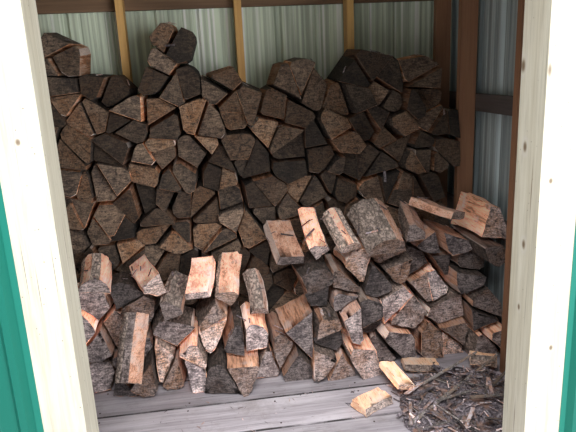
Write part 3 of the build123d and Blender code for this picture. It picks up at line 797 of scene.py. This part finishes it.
bark_litter = bark_material(
    "loose bark", (0.045, 0.037, 0.042), (0.23, 0.19, 0.215), (0.62, 0.55, 0.58), (0.42, 0.24, 0.17)
)
stick_bark = bark_material(
    "stick bark", (0.07, 0.06, 0.055), (0.20, 0.175, 0.165), (0.45, 0.41, 0.39), (0.30, 0.20, 0.14)
)


def set_tone(mesh, tone, pale=0.0):
    """One tone for a whole loose piece, and whether it is pale wood."""
    colours = mesh.color_attributes.get("log") or mesh.color_attributes.new("log", "FLOAT_COLOR", "CORNER")
    for item in colours.data:
        item.color = (tone, 0.0, pale, 1.0)


def lumpy_mound():
    """The heap's body: the CAD mound, subdivided and roughened."""
    mound = copy_node("bark_heap", "bark_heap_body")
    edit(mound)
    bpy.ops.mesh.select_all(action="SELECT")
    bpy.ops.mesh.quads_convert_to_tris()
    bpy.ops.mesh.subdivide(number_cuts=5)
    done()
    lumps = bpy.data.textures.new("heap lumps", "CLOUDS")
    lumps.noise_scale = 0.07
    lumps.noise_depth = 4
    apply_modifier(
        mound, "DISPLACE", texture=lumps, strength=0.05, mid_level=0.75, texture_coords="LOCAL"
    )
    set_tone(mound.data, 0.45)
    return mound


def chip_shape():
    """A flake of bark or wood: a thin tapering plate with a bent middle."""
    deselect_all()
    bpy.ops.mesh.primitive_cube_add(size=1)
    chip = bpy.context.object
    edit(chip)
    bpy.ops.mesh.select_all(action="SELECT")
    bpy.ops.mesh.subdivide(number_cuts=1)
    pick_faces(chip, lambda normal, centre: normal.y < -0.9)
    bpy.ops.transform.resize(value=(0.35, 1, 0.5))
    pick_faces(chip, lambda normal, centre: normal.y > 0.9)
    bpy.ops.transform.resize(value=(0.7, 1, 0.6))
    pick_faces(chip, lambda normal, centre: normal.z > 0.9 and abs(centre.y) < 0.3)
    bpy.ops.transform.translate(value=(0, 0, 0.5))
    done()
    set_tone(chip.data, 0.5)
    return chip


def place_copy(template, matrix, tone, pale=0.0):
    """A copy of a template with its own mesh, put in place through its mesh."""
    copy = template.copy()
    copy.data = template.data.copy()
    copy.data.transform(matrix)
    copy.data.update()
    set_tone(copy.data, tone, pale)
    bpy.context.scene.collection.objects.link(copy)
    return copy


def turned(rng, steepest):
    """A random turn about the vertical and a small random tip."""
    turn = Matrix.Rotation(rng.uniform(0, math.tau), 4, "Z")
    tip = Matrix.Rotation(rng.uniform(-steepest, steepest), 4, "X")
    roll = Matrix.Rotation(rng.uniform(-steepest, steepest), 4, "Y")
    return turn @ tip @ roll


def scatter_chips(template, mound, count, rng, zone, sizes, widths=(0.25, 0.6)):
    """Chips laid on the mound, or on the floor where the mound ends."""
    pale_share = 0.22
    copies = []
    low_x, high_x, low_y, high_y = zone
    for number in range(count):
        x = rng.uniform(low_x, high_x)
        y = rng.uniform(low_y, high_y)
        hit, point, normal, index = mound.ray_cast(Vector((x, y, 3)), down)
        z = point.z if hit else floor_z
        length = rng.uniform(*sizes)
        width = length * rng.uniform(*widths)
        thick = length * rng.uniform(0.06, 0.14)
        steepest = 0.55 if hit else 0.08
        lift = 0.5 * thick + (0.006 if hit else 0.001)
        matrix = Matrix.Translation((x, y, z + lift)) @ turned(rng, steepest)
        matrix = matrix @ Matrix.Diagonal((width, length, thick, 1))
        pale = float(rng.random() < pale_share)
        copies.append(place_copy(template, matrix, rng.random(), pale))
    return copies


rng = random.Random(5)
mound = lumpy_mound()
mound_low, mound_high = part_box("bark_heap")
chip = chip_shape()
on_heap = (mound_low[0] + 0.03, mound_high[0] - 0.05, mound_low[1] + 0.03, mound_high[1] - 0.03)
on_floor = (-0.55, mound_low[0] + 0.1, -0.3, 0.02)
chips = scatter_chips(chip, mound, 60, rng, on_heap, (0.07, 0.15), (0.35, 0.7))
chips += scatter_chips(chip, mound, 420, rng, on_heap, (0.015, 0.06), (0.2, 0.8))
chips += scatter_chips(chip, mound, 50, rng, on_floor, (0.008, 0.03))
heap = join_all([mound] + chips, "bark_heap_litter")
finish_piece(heap, bark_litter, "bark", "bark_heap")


def scraps_on(pieces, template, count, rng, zone, sizes):
    """Bark scraps and splinters that lie on the upper sides of the logs."""
    low_x, high_x, low_y, high_y = zone
    least_upward, pale_share = 0.45, 0.12
    copies = []
    while len(copies) < count:
        above = Vector((rng.uniform(low_x, high_x), rng.uniform(low_y, high_y), 2.3))
        hits = [piece.ray_cast(above, down) for piece in pieces]
        hits = [(point, normal) for hit, point, normal, index in hits if hit]
        if not hits:
            continue
        point, normal = max(hits, key=lambda hit: hit[0].z)
        length = rng.uniform(*sizes)
        width = length * rng.uniform(0.35, 0.8)
        thick = length * rng.uniform(0.07, 0.14)
        spin = Matrix.Rotation(rng.uniform(0, math.tau), 4, "Z")
        if normal.z < least_upward:
            continue
        lie = normal.to_track_quat("Z", "Y").to_matrix().to_4x4()
        matrix = Matrix.Translation(point + 0.3 * thick * normal) @ lie @ spin
        matrix = matrix @ Matrix.Diagonal((width, length, thick, 1))
        copies.append(place_copy(template, matrix, rng.random(), float(rng.random() < pale_share)))
    return copies


back_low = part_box("firewood_back_left")[0]
back_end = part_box("firewood_back_right")[1]
front_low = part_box("firewood_front_left")[0]
on_rows = (back_low[0] + 0.02, back_end[0] - 0.02, front_low[1] + 0.02, back_low[1] + 0.22)
log_names = [f"firewood_{row}_{part}_logs" for row in ("back", "front") for part in bays]
log_pieces = [bpy.data.objects[name] for name in log_names + ["leaning_splits_logs"]]
scraps = scraps_on(log_pieces, chip, 100, random.Random(23), on_rows, (0.02, 0.075))
finish_piece(join_all(scraps, "bark_scraps"), bark_litter, "bark")
bpy.data.objects.remove(chip)


def crooked_stick(start, end, radius, bend, rng):
    """A stick between two points: a thin stem that wanders a little and tapers."""
    steps = 10
    start, end = Vector(start), Vector(end)
    deselect_all()
    bpy.ops.mesh.primitive_cylinder_add(vertices=7, radius=radius, depth=1)
    stick = bpy.context.object
    edit(stick)
    pick_faces(stick, lambda normal, centre: abs(normal.z) < 0.5)
    bpy.ops.mesh.subdivide_edgering(number_cuts=steps - 1)
    done()
    along = (end - start).to_track_quat("Z", "Y").to_matrix().to_4x4()
    stick.data.transform(Matrix.Translation((0, 0, 0.5)))
    sway = [Vector((rng.uniform(-bend, bend), rng.uniform(-bend, bend), 0)) for step in range(steps + 1)]
    for vertex in stick.data.vertices:
        share = vertex.co.z
        step = min(steps, max(0, round(share * steps)))
        thinner = 1.0 - 0.45 * share
        vertex.co.x = vertex.co.x * thinner + sway[step].x
        vertex.co.y = vertex.co.y * thinner + sway[step].y
        vertex.co.z = share * (end - start).length
    stick.data.transform(Matrix.Translation(start) @ along)
    set_tone(stick.data, rng.random())
    return stick


def sticks_piece():
    """Long sticks over the heap, where the CAD sticks lie, with short twigs between them."""
    rng = random.Random(17)
    sticks = []
    runs = (
        ((0.53, -0.42), (1.10, -0.09), 0.010),
        ((0.62, -0.18), (1.00, -0.06), 0.009),
        ((0.70, -0.47), (1.08, -0.22), 0.011),
        ((0.60, -0.30), (0.86, -0.36), 0.007),
        ((0.80, -0.42), (1.08, -0.44), 0.008),
    )
    for (x0, y0), (x1, y1), radius in runs:
        z0 = floor_z + 0.02 + 0.09 * (x0 > 0.75)
        z1 = floor_z + 0.115
        sticks.append(crooked_stick((x0, y0, z0), (x1, y1, z1), radius, 0.006, rng))
    for number in range(46):
        x = rng.uniform(0.55, 1.05)
        y = rng.uniform(-0.55, -0.04)
        turn = rng.uniform(0, math.tau)
        length = rng.uniform(0.05, 0.16)
        hit, point, normal, index = heap.ray_cast(Vector((x, y, 3)), down)
        z = (point.z if hit else floor_z) + 0.004
        end = (x + length * math.cos(turn), y + length * math.sin(turn), z + rng.uniform(0, 0.02))
        sticks.append(crooked_stick((x, y, z), end, rng.uniform(0.002, 0.004), 0.003, rng))
    return join_all(sticks, "sticks_and_twigs")


finish_piece(sticks_piece(), stick_bark, "stick", "sticks")


# Nail heads in the floor boards


def nail_shape():
    """A small round head with a bevelled rim."""
    radius, height = 0.0045, 0.002
    deselect_all()
    bpy.ops.mesh.primitive_cylinder_add(vertices=8, radius=radius, depth=height)
    head = bpy.context.object
    edit(head)
    pick_faces(head, lambda normal, centre: normal.z > 0.9)
    bpy.ops.mesh.inset(thickness=radius * 0.3)
    bpy.ops.transform.translate(value=(0, 0, height * 0.35))
    done()
    return head


def floor_nails():
    """Two nails where each board crosses each joist."""
    from_seam, towards_middle = 0.035, 0.985
    template = nail_shape()
    rng = random.Random(3)
    nails = []
    seams = [front_y] + [board_seam + number * board_pitch for number in range(-3, 4)] + [back_y]
    for y0, y1 in zip(seams, seams[1:]):
        for joist in range(-3, 4):
            for y in (y0 + from_seam, y1 - from_seam):
                x = joist * joist_pitch * towards_middle + rng.uniform(-0.008, 0.008)
                place = Matrix.Translation((x, y + rng.uniform(-0.006, 0.006), floor_z))
                nails.append(place_copy(template, place, 0.5))
    bpy.data.objects.remove(template)
    return join_all(nails, "floor_nails")


nail_finish = Finish("rusty nail", roughness=0.7, metallic=0.6)
iron, rust = (0.03, 0.025, 0.022), (0.11, 0.06, 0.04)
nail_finish.colour(nail_finish.ramp(nail_finish.noise(300.0), (0.3, iron), (0.7, rust)))
finish_piece(floor_nails(), nail_finish.material, "floor_board")


# Screws in the wall and roof sheets, beside each high rib


def screw_shape():
    """A round head on a washer, each with ten sides."""
    deselect_all()
    bpy.ops.mesh.primitive_cylinder_add(vertices=10, radius=0.0085, depth=0.003)
    screw = bpy.context.object
    edit(screw)
    pick_faces(screw, lambda normal, centre: normal.z > 0.9)
    bpy.ops.mesh.inset(thickness=0.003)
    bpy.ops.mesh.inset(thickness=0.0, depth=0.005)
    bpy.ops.mesh.inset(thickness=0.0012)
    bpy.ops.transform.translate(value=(0, 0, 0.0008))
    done()
    return screw


def lay_screws(template, node, spots, towards):
    """Screws where rays from the spots meet a sheet."""
    towards = Vector(towards)
    turn = (-towards).to_track_quat("Z", "Y").to_matrix().to_4x4()
    copies = []
    for spot in spots:
        hit, point, normal, index = nodes[node].ray_cast(Vector(spot), towards)
        if hit:
            copies.append(place_copy(template, Matrix.Translation(point) @ turn, 0.5))
    return copies


beside_rib, first_rib, half_girt = 0.036, 0.045, 0.0445
girt_middles = [floor_z + bottom + half_girt for bottom in (0, 0.609, 1.227, 1.828)]
side_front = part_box("right_cladding")[0][1]
back_ribs = [beside_rib + number * rib_pitch for number in range(-5, 6)]
side_ribs = [side_front + first_rib + beside_rib + number * rib_pitch for number in range(8)]
front_ribs = [x for x in back_ribs if x < -0.80 or x > 0.93]

screw = screw_shape()
spots = [(x, 1.2, z) for x in back_ribs for z in girt_middles]
screws = lay_screws(screw, "back_cladding", spots, (0, -1, 0))
for side, name in ((-1, "left"), (1, "right")):
    spots = [(side * 1.5, y, z) for y in side_ribs for z in girt_middles]
    screws += lay_screws(screw, f"{name}_cladding", spots, (-side, 0, 0))
    spots = [(x, -1.2, z) for x in front_ribs if x * side > 0 for z in girt_middles]
    screws += lay_screws(screw, f"front_cladding_{name}", spots, (0, 1, 0))
roof_low, roof_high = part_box("roof_sheet")
from_eaves, outer_rib = 0.08, 1.28
roof_run = roof_high[1] - roof_low[1] - 2 * from_eaves
roof_rows = [roof_low[1] + from_eaves + share * roof_run for share in (0, 0.25, 0.5, 0.75, 1)]
spots = [(x, y, 3.2) for x in [-outer_rib] + back_ribs + [outer_rib] for y in roof_rows]
screws += lay_screws(screw, "roof_sheet", spots, down)
bpy.data.objects.remove(screw)
screw_finish = Finish("painted screw", roughness=0.45, metallic=0.3)
dark_paint, pale_paint = (0.01, 0.10, 0.08), (0.05, 0.20, 0.16)
screw_finish.colour(screw_finish.ramp(screw_finish.noise(120.0), (0.3, dark_paint), (0.7, pale_paint)))
finish_piece(join_all(screws, "sheet_screws"), screw_finish.material, "green_sheet")


# Camera at the photograph's place

eye = Vector((-0.205, -2.4506, floor_z + 1.4973))
yaw = math.radians(7.42)
pitch = math.radians(14.49)
roll = math.radians(-2.77)
focal_pixels = 574.46
photo_width = 576

forward = Vector((math.sin(yaw) * math.cos(pitch), math.cos(yaw) * math.cos(pitch), -math.sin(pitch)))
level_right = Vector((math.cos(yaw), -math.sin(yaw), 0))
level_up = level_right.cross(forward)
right = math.cos(roll) * level_right + math.sin(roll) * level_up
up = -math.sin(roll) * level_right + math.cos(roll) * level_up

camera_data = bpy.data.cameras.new("camera")
camera_data.sensor_fit = "HORIZONTAL"
camera_data.sensor_width = 36
camera_data.lens = focal_pixels / photo_width * camera_data.sensor_width
camera_data.clip_start = 0.05
camera = bpy.data.objects.new("camera", camera_data)
camera.matrix_world = Matrix(
    (
        (right.x, up.x, -forward.x, eye.x),
        (right.y, up.y, -forward.y, eye.y),
        (right.z, up.z, -forward.z, eye.z),
        (0, 0, 0, 1),
    )
)
bpy.context.scene.collection.objects.link(camera)
bpy.context.scene.camera = camera


# Light, floor and background


def soft_lamp(name, place, target, size, power):
    """A square area lamp that looks at a point."""
    data = bpy.data.lights.new(name, "AREA")
    data.size = size
    data.energy = power
    lamp = bpy.data.objects.new(name, data)
    lamp.location = place
    direction = Vector(target) - Vector(place)
    lamp.rotation_euler = direction.to_track_quat("-Z", "Y").to_euler()
    bpy.context.scene.collection.objects.link(lamp)


soft_lamp("high door light", (-0.3, -3.2, 5.2), (0.3, 0.0, 0.3), 3.0, 425)
soft_lamp("low door light", (2.6, -4.8, 1.6), (-0.5, 0.8, 1.7), 2.5, 185)
soft_lamp("left light", (-5.0, -1.5, 4.5), (0, 0, 1.2), 3.0, 60)
soft_lamp("back light", (2.5, 5.5, 4.5), (0, 0, 1.2), 3.0, 260)

world = bpy.data.worlds.new("plain sky")
world.use_nodes = True
sky = world.node_tree
sky.nodes["Background"].inputs["Color"].default_value = (0.92, 0.94, 1.0, 1)
rays = sky.nodes.new("ShaderNodeLightPath")
seen = sky.nodes.new("ShaderNodeMath")
seen.operation = "MAXIMUM"
sky.links.new(rays.outputs["Is Camera Ray"], seen.inputs[0])
glossy = sky.nodes.new("ShaderNodeMath")
glossy.operation = "MAXIMUM"
sky.links.new(rays.outputs["Is Glossy Ray"], glossy.inputs[0])
sky.links.new(rays.outputs["Is Transmission Ray"], glossy.inputs[1])
sky.links.new(glossy.outputs[0], seen.inputs[1])
lighting, looked_at = 0.6, 0.8
strength = sky.nodes.new("ShaderNodeMapRange")
strength.inputs["To Min"].default_value = lighting
strength.inputs["To Max"].default_value = looked_at
sky.links.new(seen.outputs[0], strength.inputs["Value"])
sky.links.new(strength.outputs["Result"], sky.nodes["Background"].inputs["Strength"])
bpy.context.scene.world = world

deselect_all()
bpy.ops.mesh.primitive_plane_add(size=30, location=(0, 0, 0))
ground = bpy.context.object
ground.name = "ground"
ground_finish = Finish("plain floor", roughness=0.9)
ground_finish.colour(
    ground_finish.ramp(ground_finish.noise(3.0), (0.3, (0.78, 0.77, 0.75)), (0.7, (0.80, 0.79, 0.77)))
)
ground.data.materials.append(ground_finish.material)

bpy.context.scene.view_settings.view_transform = "Standard"
